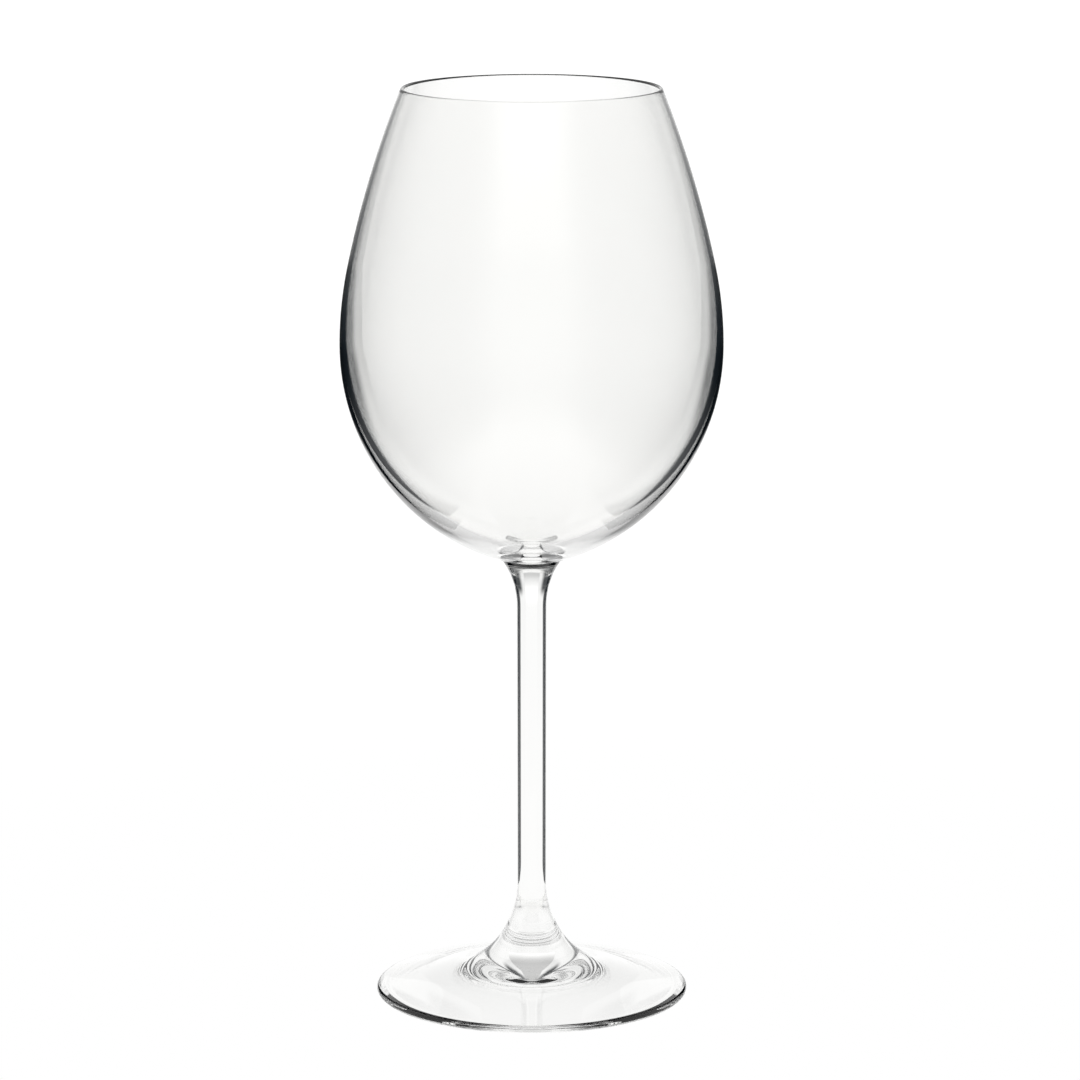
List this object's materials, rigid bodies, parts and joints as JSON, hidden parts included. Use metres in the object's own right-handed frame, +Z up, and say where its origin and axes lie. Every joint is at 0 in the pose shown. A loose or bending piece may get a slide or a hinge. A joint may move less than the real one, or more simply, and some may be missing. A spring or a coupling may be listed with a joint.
{
  "type": "wine glass",
  "caption": "Stemmed wine glass in clear colourless glass: a deep tulip bowl narrowing to the lip, a slim straight stem and a thin round foot.",
  "frame": {"origin": "centre of the foot's resting ring, on the table", "axes": "+Z up along the stem, the axis of revolution; X and Y are level and interchangeable"},
  "size_m": [0.0934, 0.0934, 0.225],
  "materials": {
    "clear_glass": "fire-polished, clear"
  },
  "bodies": {
    "root": {"bowl": "clear_glass", "stem": "clear_glass", "foot": "clear_glass"}
  },
  "joints": []
}
